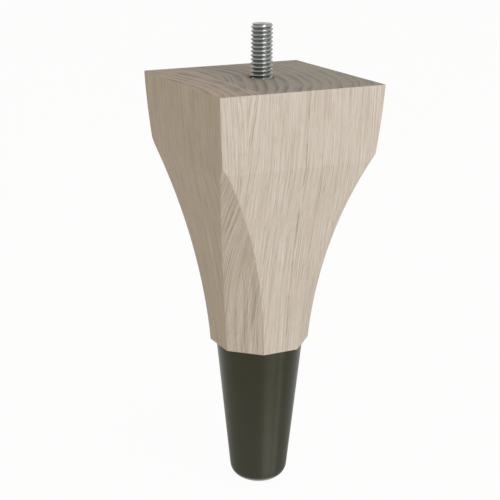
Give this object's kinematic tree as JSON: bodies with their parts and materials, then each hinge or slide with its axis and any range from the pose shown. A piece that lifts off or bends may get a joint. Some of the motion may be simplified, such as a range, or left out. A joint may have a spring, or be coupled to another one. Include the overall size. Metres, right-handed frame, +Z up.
{
  "type": "wooden furniture foot",
  "caption": "Pale wooden furniture foot, square at the top and hollowed to an octagonal neck, on a tapered dark metal ferrule, with a threaded stud to fix it by.",
  "frame": {"origin": "centre of the ferrule's flat underside, which the foot stands on", "axes": "+Z up the foot's axis to the stud, X and Y square to the sides of the block"},
  "size_m": [0.0634, 0.0634, 0.1734],
  "materials": {
    "main_board_wood": "limed, matt, open grained",
    "side_board_wood": "limed, matt, open grained",
    "ferrule_metal": "dark bronze, satin",
    "bolt_steel": "bright zinc plated"
  },
  "bodies": {
    "root": {"main_board": "main_board_wood", "side_board": "side_board_wood", "ferrule": "ferrule_metal", "hanger_bolt": "bolt_steel"}
  },
  "joints": []
}
